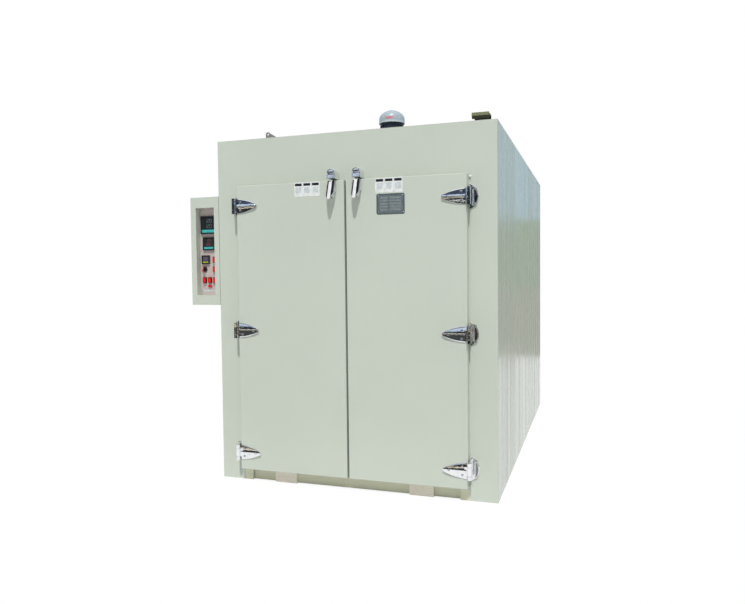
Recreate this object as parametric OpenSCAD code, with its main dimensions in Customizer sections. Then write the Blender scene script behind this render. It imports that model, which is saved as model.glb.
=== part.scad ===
// Walk-in drying oven with two overlay doors, a side control box and a roof fan motor
// Frame: origin on the floor at the centre of the cabinet, +X right, +Y towards the back, +Z up
// All sizes are in millimetres

/* [Cabinet] */
// Width of the insulated cabinet
body_w = 1480; // [1300:10:1800]
// Depth of the insulated cabinet
body_d = 2500; // [1500:50:3200]
// Height of the cabinet without what stands on the roof
body_h = 1800; // [1700:10:2200]
// Thickness of the insulated side and back walls
wall_t = 120; // [80:5:150]
// Thickness of the insulated roof
roof_t = 120; // [80:5:150]
// Thickness of the insulated floor
floor_t = 58; // [40:1:80]
// Depth of the front frame from front to back
frame_d = 120; // [90:5:160]
// Visible width of the jamb on each side of the doorway
jamb_w = 180; // [160:5:220]
// Height of the header above the doorway
header_h = 290; // [240:5:400]
// Radius of the folded front corners of the cabinet
corner_r = 6; // [2:1:15]

/* [Chamber] */
// Thickness of the sheet that lines the chamber
liner_t = 4; // [2:1:6]
// Height of the open slot above each air duct
duct_slot_h = 60; // [30:5:120]

/* [Threshold] */
// Height of the sill strip
sill_h = 52; // [30:1:56]
// Distance of the sill strip behind the front of the frame
sill_setback = 18; // [5:1:40]
// Width of each wheel block in the sill
block_w = 122; // [60:2:180]
// Depth of each wheel block
block_d = 60; // [50:5:80]
// Distance of each block's centre from the middle of the doorway
block_x = 366; // [200:2:440]

/* [Doors] */
// Thickness of a door leaf
leaf_t = 42; // [30:1:60]
// Overlap of a leaf on the jamb and the header
leaf_overlap = 44; // [36:1:60]
// Gap between the two leaves
leaf_gap = 10; // [9:1:16]
// Clearance under the leaves above the floor
leaf_clear_bottom = 8; // [5:1:20]
// Radius of the leaf's folded front edges
leaf_edge_r = 4; // [1:0.5:8]
// Thickness of the sealing strip between leaf and frame
seal_t = 3; // [2:0.5:6]
// Width of the sealing strip
seal_w = 30; // [16:1:32]
// Free gap left between the sealing strip and a shut leaf
seal_gap = 0.3; // [0.2:0.1:0.5]
// Depth of the insulated plug behind a leaf
plug_d = 60; // [30:5:80]
// Clearance of the plug from the jamb, the header and the floor
plug_clear = 8; // [6:1:15]
// Distance of the plug from the leaf's free edge
plug_inset = 13; // [12:1:30]
// Radius of the plug's vertical corners
plug_r = 6; // [2:1:10]

/* [Hinges] */
// Height of the lowest hinge above the bottom of the leaf
hinge_low = 91; // [70:1:200]
// Distance of the highest hinge below the top of the leaf
hinge_top = 106; // [70:1:200]
// Distance of the hinge pin outside the leaf's edge
pin_out = 10; // [10:0.5:14]
// Distance of the hinge pin in front of the leaf's face
pin_front = 12; // [12:0.5:16]
// Radius of the hinge pin
pin_r = 6; // [4:0.5:7]
// Running clearance round the pin
pin_clear = 0.05; // [0.02:0.01:0.1]
// Radius of the hinge knuckles
knuckle_r = 11; // [10:0.5:12]
// Length of the strap's middle knuckle
strap_knuckle_h = 42; // [30:1:50]
// Length of each of the bracket's end knuckles
bracket_knuckle_h = 18; // [12:1:24]
// Gap between two knuckles
knuckle_gap = 1; // [0.5:0.1:2]
// Reach of the strap from the leaf's edge to its tip
strap_reach = 119; // [90:1:160]
// Height of the strap at its wide end
strap_h = 78; // [60:1:90]
// Radius of the strap's tip
strap_tip_r = 11; // [8:0.5:14]
// Thickness of the bevelled strap along its middle
strap_t = 10; // [8:0.5:11]
// Thickness of the strap at its wide end's corners
strap_edge_t = 3; // [2:0.5:6]
// Height of the flat ridge between the strap's bevels
strap_ridge_h = 16; // [10:1:20]
// Height of the bracket's flange on the frame
flange_h = 115; // [100:1:140]
// Reach of the bracket's flange from its straight edge
flange_reach = 41; // [30:1:55]
// Thickness of the bracket's flange
flange_t = 5; // [3:0.5:8]
// Thickness of the web that carries the bracket's knuckles
bracket_web_t = 6; // [4:0.5:7]

/* [Latches] */
// Distance of the latch from the leaf's free edge
latch_inset = 61; // [44:1:120]
// Width of the latch's base plate and of its strike
latch_w = 42; // [36:1:50]
// Height of the base plate
latch_h = 84; // [70:1:110]
// Height of the base plate's pointed lower part
latch_point_h = 30; // [20:1:40]
// Width of the base plate's lower end
latch_point_w = 18; // [12:1:24]
// Distance of the base plate below the top of the leaf
latch_drop = 2; // [0:0.5:10]
// Thickness of the base plate
latch_base_t = 4; // [3:0.5:5]
// Width of the post that carries the lever's pin
latch_post_w = 20; // [16:1:22]
// Height of the post below the lever's pin
latch_post_h = 38; // [30:1:44]
// Radius of the post's eye round the pin
latch_eye_r = 6.5; // [6:0.5:7]
// Distance of the lever's pin below the top of the base plate
lever_pin_drop = 11; // [9:0.5:16]
// Distance of the lever's pin from the leaf's face
lever_pin_out = 14; // [13:0.5:17]
// Radius of the lever's pin
lever_pin_r = 4; // [3:0.5:5]
// Width of the lever
lever_w = 44; // [42:1:48]
// Side clearance of the lever round its post
lever_clear = 1; // [0.5:0.1:2]
// Height of the lever above its pin
lever_rise = 11; // [10.5:0.5:13]
// Gap between the post's eye and the lever's cap over it
lever_cap_clear = 1.5; // [1:0.5:2]
// Length of the lever below its pin
lever_len = 83; // [70:1:110]
// Height of the lever's pointed lower part
lever_point_h = 36; // [20:1:45]
// Width of the lever's tip
lever_tip_w = 12; // [8:1:16]
// Thickness of the lever's tip
lever_tip_t = 7; // [5:0.5:10]
// Distance of the lever's tip from the leaf's face
lever_tip_out = 60; // [50:1:75]
// Distance of the lever's crowned front from its pin
lever_depth = 16; // [15:0.5:20]
// Distance of the lever's back edge from the leaf's face
lever_back = 9; // [8:0.5:10]
// Thickness of the lever's shell
lever_wall = 6.5; // [5:0.5:7]
// Radius of the lever's crowned front
lever_crown_r = 26; // [25:1:40]
// Height of the strike on the header
strike_h = 48; // [40:1:60]
// Gap between the base plate and the strike
strike_gap = 9; // [8:0.5:14]
// Distance of the strike's front from the leaf's face
strike_proud = 20; // [10:1:26]
// Height of the open slot in the strike
strike_slot_h = 16; // [14:1:18]
// Depth of the open slot in the strike
strike_slot_d = 24; // [20:1:30]
// Thickness of the strike's walls beside its slot
strike_wall = 6; // [4:0.5:8]
// Radius of the roller in the strike
strike_roller_r = 5; // [3:0.5:6]

/* [Control box] */
// Width of the control box on the left wall
box_w = 173; // [160:1:260]
// Depth of the control box
box_d = 300; // [150:5:400]
// Height of the control box
box_h = 580; // [560:5:700]
// Height of the control box above the floor
box_z = 932; // [600:2:1100]
// Border left of the recessed panel
box_border_left = 32; // [20:1:40]
// Border right of the recessed panel
box_border_right = 29; // [20:1:40]
// Border below the recessed panel
box_border_bottom = 52; // [30:1:60]
// Border above the recessed panel
box_border_top = 57; // [30:1:60]
// Depth of the panel behind the box's front
panel_depth = 40; // [34:1:60]
// Thickness of the panel
panel_t = 3; // [2:0.5:5]
// Side of the large controller
large_size = 96; // [90:1:98]
// Side of the medium controller
medium_size = 72; // [68:1:76]
// Side of the small controller
small_size = 48; // [45:1:52]
// Height of the controllers' bezels above the panel
bezel_t = 10; // [6:0.5:14]
// Depth of the display recess in a bezel
bezel_recess = 3; // [1:0.5:4]
// Border of a bezel round its display
bezel_border = 6; // [4:0.5:8]
// Radius of a bezel's corners
bezel_r = 3; // [1:0.5:5]
// Reach of the small controller past the left column of buttons
small_reach = 3; // [0:0.5:6]
// Width of a push button
button_w = 23; // [18:1:25]
// Height of a push button
button_h = 33; // [24:1:36]
// Thickness of a push button's frame
button_t = 5; // [3:0.5:8]
// Height of a push button's cap above its frame
button_cap_t = 7; // [4:0.5:10]
// Border of a push button's frame round its cap
button_border = 3; // [2:0.5:4]
// Radius of the corners of a push button and its cap
button_r = 2; // [1:0.5:3]
// Width of the indicator lamp
lamp_w = 22; // [16:1:23]
// Height of the indicator lamp
lamp_h = 12; // [8:1:14]
// Height of the indicator lamp above the panel
lamp_t = 6; // [3:0.5:8]
// Radius of the indicator lamp's corners
lamp_r = 3; // [1:0.5:4]
// Radius of the selector knob
knob_r = 15; // [12:0.5:16]
// Height of the selector knob
knob_t = 24; // [16:1:28]
// Width of the knob's grip
grip_w = 8; // [6:0.5:10]
// Width of the step round the knob and of the grip's distance from its rim
knob_step = 3; // [2:0.5:4]
// Gap between the selector knob and the panel
knob_gap = 0.3; // [0.2:0.1:0.5]

/* [Roof] */
// Distance of the fan motor behind the front of the cabinet
motor_y = 770; // [500:10:900]
// Side of the motor's mounting plate
motor_plate_w = 300; // [240:10:400]
// Thickness of the motor's mounting plate
motor_plate_t = 8; // [5:1:12]
// Radius of the mounting plate's corners
motor_plate_r = 12; // [4:1:30]
// Radius of the motor's flange
motor_flange_r = 100; // [90:1:115]
// Thickness of the motor's flange
motor_flange_t = 14; // [10:1:20]
// Radius of the motor's frame without fins
motor_r = 64; // [56:1:66]
// Height of the motor's cooling fins
fin_h = 7; // [4:0.5:8]
// Number of cooling fins
fin_count = 20; // [12:1:24]
// Thickness of a cooling fin
fin_t = 3; // [2:0.5:4]
// Gap between the fins' tops and the motor's end shield
fin_gap = 10; // [5:1:20]
// Height of the motor's frame above its flange
motor_h = 178; // [120:1:220]
// Radius of the fan cowl
cowl_r = 77; // [76:0.5:82]
// Thickness of the cowl's sheet
cowl_t = 2; // [1.5:0.5:3]
// Length of the cowl's straight skirt
cowl_skirt = 26; // [20:1:40]
// Height of the cowl's dome
cowl_dome = 56; // [48:1:64]
// Radius of the dome's round shoulder
cowl_shoulder_r = 42; // [34:1:44]
// Depth of the motor's end shield inside the cowl
end_shield_t = 7; // [5:0.5:10]
// Width of the motor's terminal box
terminal_w = 90; // [70:2:110]
// Depth of the motor's terminal box
terminal_d = 50; // [40:1:60]
// Height of the motor's terminal box
terminal_h = 100; // [60:2:110]
// Height of the terminal box above the motor's flange
terminal_rise = 30; // [10:1:50]
// Width of the folded bracket near the roof's right edge
bracket_w = 80; // [60:2:110]
// Height of the folded bracket
bracket_h = 44; // [40:1:60]
// Length of the folded bracket from front to back
bracket_d = 85; // [60:5:160]
// Thickness of the folded bracket's sheet
bracket_t = 4; // [3:0.5:6]
// Height of the bracket's upright front lip
bracket_lip = 15; // [12:1:20]
// Height of the slanted return below the front lip
bracket_return = 12; // [8:1:16]
// Length of the bracket's foot behind its leg
bracket_foot = 24; // [15:1:40]
// Distance of the folded bracket from the cabinet's right side
bracket_inset = 45; // [20:1:60]
// Distance of the folded bracket behind the front of the cabinet
bracket_y = 30; // [10:1:60]
// Height of the lifting lug above the roof
lug_h = 56; // [50:1:90]
// Length of the lifting lug
lug_w = 92; // [80:1:140]
// Thickness of the lifting lug
lug_t = 8; // [6:1:12]
// Radius of the lug's round corner
lug_top_r = 12; // [11:0.5:16]
// Radius of the lug's eye
lug_eye_r = 6; // [4:0.5:8]
// Width of the lug's foot
lug_foot_w = 44; // [30:2:60]
// Distance of the lug from the cabinet's left side
lug_x = 229; // [120:1:300]
// Distance of the lug behind the front of the cabinet
lug_y = 120; // [60:10:400]

/* [Hidden] */
$fn = 48;

paint = [0.78, 0.81, 0.76];
sill_paint = [0.47, 0.48, 0.42];
block_color = [0.81, 0.79, 0.72];
steel = [0.66, 0.67, 0.68];
chrome = [0.86, 0.87, 0.89];
seal_color = [0.85, 0.84, 0.80];
panel_color = [0.75, 0.70, 0.69];
black = [0.08, 0.08, 0.09];
red = [0.80, 0.10, 0.08];
cast_color = [0.55, 0.60, 0.66];
dark_steel = [0.16, 0.16, 0.13];

// Depth that cuts run past a face
cut = 1;
half_w = body_w / 2;
front_y = -body_d / 2;
back_y = body_d / 2;
inner_x = half_w - wall_t;
frame_back_y = front_y + frame_d;
liner_back_y = back_y - wall_t;
door_half = half_w - jamb_w;
door_top = body_h - header_h;

// Door leaves, given for the right leaf
leaf_x0 = leaf_gap / 2;
leaf_x1 = door_half + leaf_overlap;
leaf_z0 = floor_t + leaf_clear_bottom;
leaf_z1 = door_top + leaf_overlap;
leaf_w = leaf_x1 - leaf_x0;
leaf_h = leaf_z1 - leaf_z0;
leaf_back_y = front_y - seal_t;
leaf_face_y = leaf_back_y - leaf_t;
plug_x0 = leaf_x0 + plug_inset;
plug_x1 = door_half - plug_clear;
plug_z0 = leaf_z0 + plug_clear;
plug_z1 = door_top - plug_clear;

// Hinge axis of the right leaf and the heights of its hinges
pin_x = leaf_x1 + pin_out;
pin_y = leaf_face_y - pin_front;
hinge_low_z = leaf_z0 + hinge_low;
hinge_top_z = leaf_z1 - hinge_top;
hinge_z = [hinge_low_z, (hinge_low_z + hinge_top_z) / 2, hinge_top_z];
frame_from_pin = front_y - pin_y;
bracket_knuckle_z = strap_knuckle_h / 2 + knuckle_gap;

// Latch of the right leaf
latch_x = leaf_x0 + latch_inset;
latch_top_z = leaf_z1 - latch_drop;
lever_pin_z = latch_top_z - lever_pin_drop;
lever_pin_length = 1.8 * latch_post_w;
strike_z = latch_top_z + strike_gap;

// Control box on the left wall and the rows and columns of its panel
box_x0 = -half_w - box_w;
panel_x0 = box_x0 + box_border_left;
panel_x1 = -half_w - box_border_right;
panel_z0 = box_z + box_border_bottom;
panel_z1 = box_z + box_h - box_border_top;
panel_w = panel_x1 - panel_x0;
panel_h = panel_z1 - panel_z0;
panel_y = front_y + panel_depth;
panel_mid_x = (panel_x0 + panel_x1) / 2;

// Free height of the panel, shared out above each row and below the last
row_shares = [42, 17, 27, 13, 28, 10, 43];
free_h = panel_h - large_size - medium_size - small_size - 2 * knob_r - button_h - lamp_h;
function row_gap(i) = free_h * row_shares[i] / sum_of(row_shares);
large_row = panel_z1 - row_gap(0) - large_size / 2;
medium_row = large_row - large_size / 2 - row_gap(1) - medium_size / 2;
small_row = medium_row - medium_size / 2 - row_gap(2) - small_size / 2;
knob_row = small_row - small_size / 2 - row_gap(3) - knob_r;
button_row = knob_row - knob_r - row_gap(4) - button_h / 2;
lamp_row = button_row - button_h / 2 - row_gap(5) - lamp_h / 2;

// Free width of the panel, shared out beside the three columns from left to right
column_shares = [14, 9, 9, 11];
free_w = panel_w - 3 * button_w;
function column_gap(i) = free_w * column_shares[i] / sum_of(column_shares);
left_column = panel_x0 + column_gap(0) + button_w / 2;
middle_column = left_column + button_w + column_gap(1);
right_column = middle_column + button_w + column_gap(2);
small_x = left_column - button_w / 2 - small_reach + small_size / 2;

// Fan motor
motor_z0 = body_h + motor_plate_t;
motor_body_z = motor_z0 + motor_flange_t;
cowl_z = motor_body_z + motor_h - end_shield_t;

// Sum of a list of numbers
function sum_of(list, i = 0) = i < len(list) ? list[i] + sum_of(list, i + 1) : 0;

// Radius of an arc with a given half chord and rise
function arc_radius(half_chord, rise) = (pow(half_chord, 2) + pow(rise, 2)) / (2 * rise);

// Mirrors a right-hand piece to the left where side is -1
module on_side(side) {
    mirror([side < 0 ? 1 : 0, 0, 0]) children();
}

// Puts a shape drawn in X and Z on a face that looks forward, with its thickness towards the viewer
module on_face(x, face_y, z) {
    translate([x, face_y, z]) rotate([90, 0, 0]) children();
}

// Puts a shape drawn as distance in front of a face and height, with its thickness along X
module in_profile(x, face_y, z) {
    translate([x, face_y, z]) rotate([90, 0, -90]) children();
}

// Rectangle with its two corners at low Y rounded
module rounded_front(length, depth, r) {
    translate([0, r]) square([length, depth - r]);
    translate([r, 0]) square([length - 2 * r, depth]);
    for (x = [r, length - r]) translate([x, r]) circle(r);
}

// Slab whose front edges are all rounded, with its lowest corner at the origin
module folded_slab(w, t, h, r) {
    intersection() {
        linear_extrude(h) rounded_front(w, t, r);
        rotate([90, 0, 90]) linear_extrude(w) mirror([1, -1]) rounded_front(h, t, r);
    }
}

// Rectangle round the origin with four round corners
module centered_rectangle(w, h, r) {
    square([w - 2 * r, h], center = true);
    square([w, h - 2 * r], center = true);
    for (x = [-1, 1], y = [-1, 1]) translate([x * (w / 2 - r), y * (h / 2 - r)]) circle(r);
}

module side_wall(side) {
    color(paint) on_side(side)
        translate([inner_x, frame_back_y, 0])
            cube([wall_t, body_d - frame_d, body_h - roof_t]);
}

module back_wall() {
    color(paint) translate([-inner_x, liner_back_y, 0])
        cube([2 * inner_x, wall_t, body_h - roof_t]);
}

module roof_slab() {
    color(paint) translate([-half_w, frame_back_y, body_h - roof_t])
        cube([body_w, body_d - frame_d, roof_t]);
}

module floor_slab() {
    color(steel) translate([-inner_x, frame_back_y, 0])
        cube([2 * inner_x, body_d - frame_d - wall_t, floor_t]);
}

module front_jamb(side) {
    color(paint) on_side(side) translate([door_half, front_y, 0])
        linear_extrude(body_h) {
            square([jamb_w - corner_r, frame_d]);
            translate([jamb_w - corner_r, corner_r]) circle(corner_r);
            translate([0, corner_r]) square([jamb_w, frame_d - corner_r]);
        }
}

module front_header() {
    color(paint) translate([-door_half, front_y, door_top])
        cube([2 * door_half, frame_d, header_h]);
}

module sill_strip() {
    color(sill_paint) difference() {
        translate([-door_half, front_y + sill_setback, 0])
            cube([2 * door_half, frame_d - sill_setback, sill_h]);
        for (side = [-1, 1])
            translate([side * block_x - block_w / 2, front_y, -cut])
                cube([block_w, block_d, sill_h + 2 * cut]);
    }
}

module threshold_blocks() {
    color(block_color) for (side = [-1, 1])
        translate([side * block_x - block_w / 2, front_y, 0])
            cube([block_w, block_d, floor_t]);
}

module back_liner() {
    color(steel) translate([-inner_x, liner_back_y - liner_t, floor_t])
        cube([2 * inner_x, liner_t, door_top - floor_t]);
}

module ceiling_panel() {
    color(steel) translate([-inner_x, frame_back_y, door_top])
        cube([2 * inner_x, body_d - frame_d - wall_t, liner_t]);
}

// Upright sheet flush with the doorway, open above for the air
module air_duct(side) {
    color(steel) on_side(side) translate([door_half, frame_back_y, floor_t])
        cube([liner_t, body_d - frame_d - wall_t - liner_t, door_top - floor_t - duct_slot_h]);
}

// Sealing strip up both jambs and across the header
module frame_seal() {
    reach = door_half + leaf_overlap / 2 + seal_w / 2;
    color(seal_color) on_face(0, front_y, floor_t) linear_extrude(seal_t - seal_gap)
        difference() {
            translate([-reach, 0]) square([2 * reach, door_top + leaf_overlap / 2 + seal_w / 2 - floor_t]);
            translate([-reach + seal_w, -cut])
                square([2 * (reach - seal_w), door_top + leaf_overlap / 2 - seal_w / 2 - floor_t + cut]);
        }
}

module door_leaf(side) {
    color(paint) on_side(side) translate([leaf_x0, leaf_face_y, leaf_z0])
        folded_slab(leaf_w, leaf_t, leaf_h, leaf_edge_r);
}

module door_plug(side) {
    color(steel) on_side(side) translate([plug_x0, leaf_back_y + plug_d, plug_z0])
        mirror([0, 1, 0]) linear_extrude(plug_z1 - plug_z0)
            rounded_front(plug_x1 - plug_x0, plug_d, plug_r);
}

// Leaf-shaped outline from X = start to a rounded tip, with arcs that crest at the pin's axis
module strap_outline(start, half_h, tip_x, tip_r) {
    arc_r = arc_radius(tip_x, half_h - tip_r);
    intersection() {
        translate([0, half_h - arc_r]) circle(arc_r);
        translate([0, arc_r - half_h]) circle(arc_r);
        translate([start, -half_h]) square([tip_x - start, 2 * half_h]);
    }
    translate([tip_x, 0]) circle(tip_r);
}

// One hinge strap, with the pin's axis at the origin and the leaf's face pin_front behind it
module hinge_strap() {
    strap_start = knuckle_r + 3;
    tip_x = pin_out + strap_reach - strap_tip_r;
    edge_y = strap_h / 2 + cut;
    ridge_y = strap_ridge_h / 2;
    difference() {
        union() {
            on_face(0, pin_front, 0) intersection() {
                linear_extrude(strap_t + cut)
                    strap_outline(strap_start, strap_h / 2, tip_x, strap_tip_r);
                rotate([90, 0, 90]) linear_extrude(tip_x + 2 * strap_tip_r) polygon([
                    [-edge_y, -cut], [edge_y, -cut], [edge_y, strap_edge_t], [ridge_y, strap_t],
                    [-ridge_y, strap_t], [-edge_y, strap_edge_t]]);
            }
            translate([0, 0, -strap_knuckle_h / 2]) cylinder(r = knuckle_r, h = strap_knuckle_h);
            translate([0, pin_front - strap_t, -strap_knuckle_h / 2])
                cube([strap_start + strap_tip_r, strap_t - 1, strap_knuckle_h]);
        }
        translate([0, 0, -strap_h / 2])
            cylinder(r = pin_r + pin_clear, h = strap_h);
    }
}

module hinge_straps(side) {
    color(chrome) on_side(side) for (z = hinge_z)
        translate([pin_x, pin_y, z]) mirror([1, 0, 0]) hinge_strap();
}

// One frame bracket with its pin, drawn about the pin's axis and mirrored like the strap
module hinge_bracket() {
    end_z = bracket_knuckle_z + bracket_knuckle_h;
    web_notch = knuckle_r + 3;
    // Flange on the frame, straight towards the leaf and round outside
    flange_r = arc_radius(flange_h / 2, flange_reach);
    on_face(0, frame_from_pin, 0) linear_extrude(flange_t) intersection() {
        translate([bracket_web_t / 2 - flange_reach + flange_r, 0]) circle(flange_r);
        translate([bracket_web_t / 2 - flange_reach, -flange_h / 2]) square([flange_reach, flange_h]);
    }
    // Web from the flange to the end knuckles
    web_z = flange_h / 2 - flange_t;
    in_profile(0, frame_from_pin, 0) linear_extrude(bracket_web_t, center = true) difference() {
        polygon([[0, -web_z], [frame_from_pin, -end_z], [frame_from_pin, end_z], [0, web_z]]);
        translate([frame_from_pin - web_notch, -bracket_knuckle_z])
            square([web_notch + cut, 2 * bracket_knuckle_z]);
    }
    for (z = [-end_z, bracket_knuckle_z]) translate([0, 0, z])
        cylinder(r = knuckle_r, h = bracket_knuckle_h);
    translate([0, 0, -end_z]) cylinder(r = pin_r, h = 2 * end_z);
}

module hinge_brackets(side) {
    color(chrome) on_side(side) for (z = hinge_z)
        translate([pin_x, pin_y, z]) mirror([1, 0, 0]) hinge_bracket();
}

// Shield outline from a straight top down to a narrow blunt point
module shield_outline(w, top, bottom, point_h, point_w) {
    polygon([[-w / 2, top], [-w / 2, bottom + point_h], [-point_w / 2, bottom],
        [point_w / 2, bottom], [w / 2, bottom + point_h], [w / 2, top]]);
}

// Base plate with the post that carries the lever's pin
module latch_body(side) {
    eye_edge = [lever_pin_out - latch_eye_r * cos(30), latch_eye_r * sin(30)];
    post_front = lever_pin_out + latch_eye_r;
    color(chrome) on_side(side) {
        on_face(latch_x, leaf_face_y, latch_top_z) linear_extrude(latch_base_t)
            shield_outline(latch_w, 0, -latch_h, latch_point_h, latch_point_w);
        in_profile(latch_x, leaf_face_y, lever_pin_z) {
            linear_extrude(latch_post_w, center = true) {
                translate([lever_pin_out, 0]) circle(latch_eye_r);
                polygon([[0, -latch_post_h / 3], [0, -latch_post_h], [lever_pin_out, -latch_post_h],
                    [post_front, -latch_post_h / 2], [post_front, 0], eye_edge]);
            }
            translate([lever_pin_out, 0])
                cylinder(r = lever_pin_r, h = lever_pin_length, center = true);
        }
    }
}

// Distance of the lever's front from the leaf's face, below its pin
function lever_front(below) =
    lever_pin_out + lever_depth + (lever_tip_out - lever_pin_out - lever_depth) * below / lever_len;

// Crowned pull handle that stands out more towards its tip, hollow where it covers its post
module latch_lever(side) {
    cap_z = latch_eye_r + lever_cap_clear;
    hollow_h = latch_post_h + latch_base_t;
    color(chrome) on_side(side) in_profile(latch_x, leaf_face_y, lever_pin_z) difference() {
        intersection() {
            linear_extrude(lever_w, center = true) polygon([
                [lever_back, lever_pin_r / 2], [lever_pin_out, lever_rise],
                [lever_front(0) - 0.7 * lever_rise, lever_rise], [lever_front(0) + cut, 0],
                [lever_tip_out + cut, -lever_len], [lever_tip_out - lever_tip_t, -lever_len],
                [lever_back, lever_wall - latch_post_h]]);
            rotate([0, 90, 0]) linear_extrude(lever_tip_out + 2 * cut)
                shield_outline(lever_w, lever_rise, -lever_len, lever_point_h, lever_tip_w);
            translate([lever_front(0), 0])
                rotate([0, 0, atan2(-lever_len, lever_tip_out - lever_front(0))])
                    translate([-2 * lever_len, -lever_crown_r, 0]) rotate([0, 90, 0])
                        cylinder(r = lever_crown_r, h = 4 * lever_len);
        }
        linear_extrude(latch_post_w + 2 * lever_clear, center = true) polygon([
            [0, cap_z], [lever_pin_out + 0.6 * cap_z, cap_z], [lever_front(0) - lever_wall, 0],
            [lever_front(hollow_h) - lever_wall, -hollow_h], [0, -hollow_h]]);
        translate([lever_pin_out, 0])
            cylinder(r = lever_pin_r + pin_clear, h = lever_pin_length + lever_clear, center = true);
    }
}

// Raised strike on the header with an open slot and a roller across it
module latch_strike(side) {
    out = seal_t + leaf_t + strike_proud;
    round_r = latch_w / 2;
    slot_z = strike_h - round_r;
    color(chrome) on_side(side) {
        difference() {
            on_face(latch_x, front_y, strike_z) linear_extrude(out) {
                translate([-round_r, 0]) square([latch_w, strike_h - round_r]);
                translate([0, strike_h - round_r]) circle(round_r);
            }
            on_face(latch_x, front_y - out + strike_slot_d, strike_z) linear_extrude(strike_slot_d + cut)
                translate([strike_wall - round_r, slot_z - strike_slot_h / 2])
                    square([latch_w - 2 * strike_wall, strike_slot_h]);
        }
        translate([latch_x, front_y - out + strike_slot_d / 2, strike_z + slot_z]) rotate([0, 90, 0])
            cylinder(r = strike_roller_r, h = latch_w - strike_wall, center = true);
    }
}

module control_box() {
    color(paint) difference() {
        translate([box_x0, front_y, box_z]) cube([box_w, box_d, box_h]);
        translate([panel_x0, front_y - cut, panel_z0])
            cube([panel_w, panel_depth + panel_t + cut, panel_h]);
    }
}

module control_panel() {
    color(panel_color) translate([panel_x0, panel_y, panel_z0]) cube([panel_w, panel_t, panel_h]);
}

// Square bezel with a recessed display
module controller(size, x, z) {
    color(black) on_face(x, panel_y, z) difference() {
        linear_extrude(bezel_t) centered_rectangle(size, size, bezel_r);
        display = size - 2 * bezel_border;
        translate([-display / 2, -display / 2, bezel_t - bezel_recess])
            cube([display, display, bezel_recess + cut]);
    }
}

module push_button(x, z) {
    color(black) on_face(x, panel_y, z) linear_extrude(button_t)
        centered_rectangle(button_w, button_h, button_r);
    color(red) on_face(x, panel_y - button_t, z) linear_extrude(button_cap_t)
        centered_rectangle(button_w - 2 * button_border, button_h - 2 * button_border, button_r);
}

module push_buttons() {
    for (x = [left_column, middle_column, right_column]) push_button(x, button_row);
    for (z = [small_row, knob_row]) push_button(right_column, z);
}

module indicator_lamp() {
    color(red) on_face(middle_column, panel_y, lamp_row) linear_extrude(lamp_t)
        centered_rectangle(lamp_w, lamp_h, lamp_r);
}

// Round knob with a raised grip across it
module selector_knob() {
    color(black) on_face(left_column, panel_y - knob_gap, knob_row) {
        cylinder(r = knob_r, h = knob_t / 3);
        cylinder(r = knob_r - knob_step, h = knob_t / 2);
        translate([-grip_w / 2, knob_step - knob_r, 0]) cube([grip_w, 2 * (knob_r - knob_step), knob_t]);
    }
}

module motor_plate() {
    color(paint) translate([0, front_y + motor_y, body_h])
        linear_extrude(motor_plate_t) centered_rectangle(motor_plate_w, motor_plate_w, motor_plate_r);
}

module motor_frame() {
    color(cast_color) translate([0, front_y + motor_y, motor_z0]) {
        cylinder(r = motor_flange_r, h = motor_flange_t);
        translate([0, 0, motor_flange_t]) {
            cylinder(r = motor_r, h = motor_h);
            for (i = [0 : fin_count - 1]) rotate([0, 0, i * 360 / fin_count])
                translate([motor_r - cut, -fin_t / 2, 0])
                    cube([fin_h + cut, fin_t, motor_h - end_shield_t - fin_gap]);
            translate([0, 0, motor_h - end_shield_t]) cylinder(r = cowl_r - cowl_t, h = end_shield_t);
        }
    }
}

// Domed sheet cowl, open below
module motor_cowl() {
    color(cast_color) translate([0, front_y + motor_y, cowl_z]) rotate_extrude() difference() {
        cowl_section(cowl_r, cowl_skirt, cowl_dome, cowl_shoulder_r);
        translate([0, -cut]) cowl_section(cowl_r - cowl_t, cowl_skirt + cut, cowl_dome - cowl_t,
            cowl_shoulder_r - cowl_t);
    }
}

// Half section of the cowl: straight skirt, round shoulder and a crown arc that meets it smoothly
module cowl_section(r, skirt, dome, shoulder_r) {
    shoulder_x = r - shoulder_r;
    crown_r = (pow(shoulder_x, 2) + pow(dome, 2) - pow(shoulder_r, 2)) / (2 * (dome - shoulder_r));
    crown_z = skirt + dome - crown_r;
    meet_z = crown_z + crown_r * (skirt - crown_z) / (crown_r - shoulder_r);
    square([r, skirt]);
    square([shoulder_x, meet_z]);
    intersection() {
        translate([shoulder_x, skirt]) circle(shoulder_r);
        translate([0, skirt - cut]) square([r, meet_z - skirt + cut]);
    }
    intersection() {
        translate([0, crown_z]) circle(crown_r);
        translate([0, meet_z]) square([r, dome]);
    }
}

module motor_terminal_box() {
    color(cast_color)
        translate([-terminal_w / 2, front_y + motor_y + motor_r + fin_h, motor_body_z + terminal_rise])
            cube([terminal_w, terminal_d, terminal_h]);
}

// Folded sheet with a front lip and a slanted return, carried by the leg and foot at its back
module roof_bracket() {
    lip_z = bracket_h - bracket_lip;
    return_z = lip_z - bracket_return;
    leg_y = bracket_d - bracket_t;
    color(dark_steel)
        translate([half_w - bracket_inset - bracket_w, front_y + bracket_y, body_h]) rotate([90, 0, 90])
            linear_extrude(bracket_w) {
                translate([0, bracket_h - bracket_t]) square([bracket_d, bracket_t]);
                translate([0, lip_z]) square([bracket_t, bracket_lip]);
                polygon([[0, lip_z], [bracket_return, return_z], [bracket_return + bracket_t, return_z],
                    [bracket_t, lip_z]]);
                translate([leg_y, 0]) square([bracket_t, bracket_h]);
                translate([leg_y, 0]) square([bracket_t + bracket_foot, bracket_t]);
            }
}

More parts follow.
